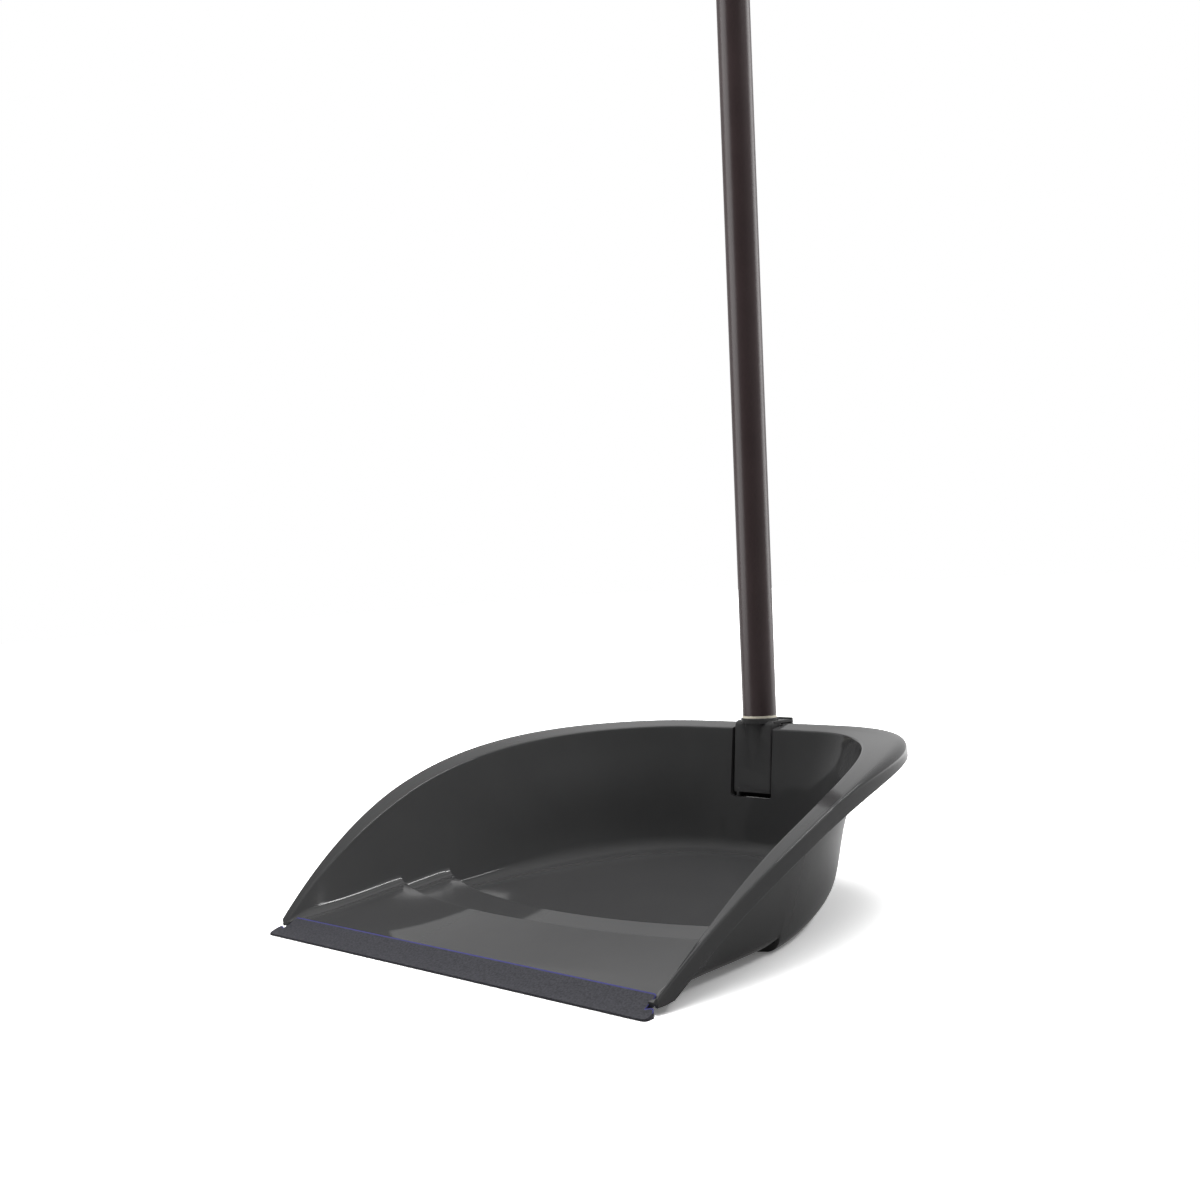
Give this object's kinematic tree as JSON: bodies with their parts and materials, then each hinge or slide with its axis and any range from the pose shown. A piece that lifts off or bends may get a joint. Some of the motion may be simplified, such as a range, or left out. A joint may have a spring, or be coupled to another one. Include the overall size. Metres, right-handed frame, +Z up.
{
  "type": "long-handled dustpan",
  "caption": "Upright dustpan: deep flared pan with a rolled rim, arched floor steps and a rubber lip, on a tube handle whose bracket slides into the back wall.",
  "frame": {"origin": "on the floor plane, on the flat underside of the middle skid under the basin", "axes": "+Z up, +Y from the lip to the back wall and the handle, +X to the right of a person facing the open mouth"},
  "size_m": [0.325, 0.325, 0.8375],
  "materials": {
    "pan_plastic": "moulded, semi-gloss dark grey",
    "lip_rubber": "fine-textured matte grey",
    "bracket_plastic": "moulded, satin dark grey",
    "plug_plastic": "cream, satin",
    "tube_coating": "glossy dark brown film over steel tube",
    "cap_plastic": "moulded, satin dark grey"
  },
  "bodies": {
    "scoop": {"pan": "pan_plastic", "lip_strip": "lip_rubber"},
    "bracket": {"handle_bracket": "bracket_plastic"},
    "handle": {"threaded_plug": "plug_plastic", "handle_tube": "tube_coating", "end_cap": "cap_plastic"}
  },
  "joints": [
    {"name": "bracket_slide", "type": "slide", "parent": "scoop", "child": "bracket", "axis": [0, 0.0384, 0.9993], "range_m": [0, 0.04]},
    {"name": "handle_unscrew", "type": "hinge", "parent": "bracket", "child": "handle", "pos_m": [0, 0.1058, 0.098], "axis": [0, 0.0384, 0.9993], "range_deg": [0, 1080]}
  ]
}
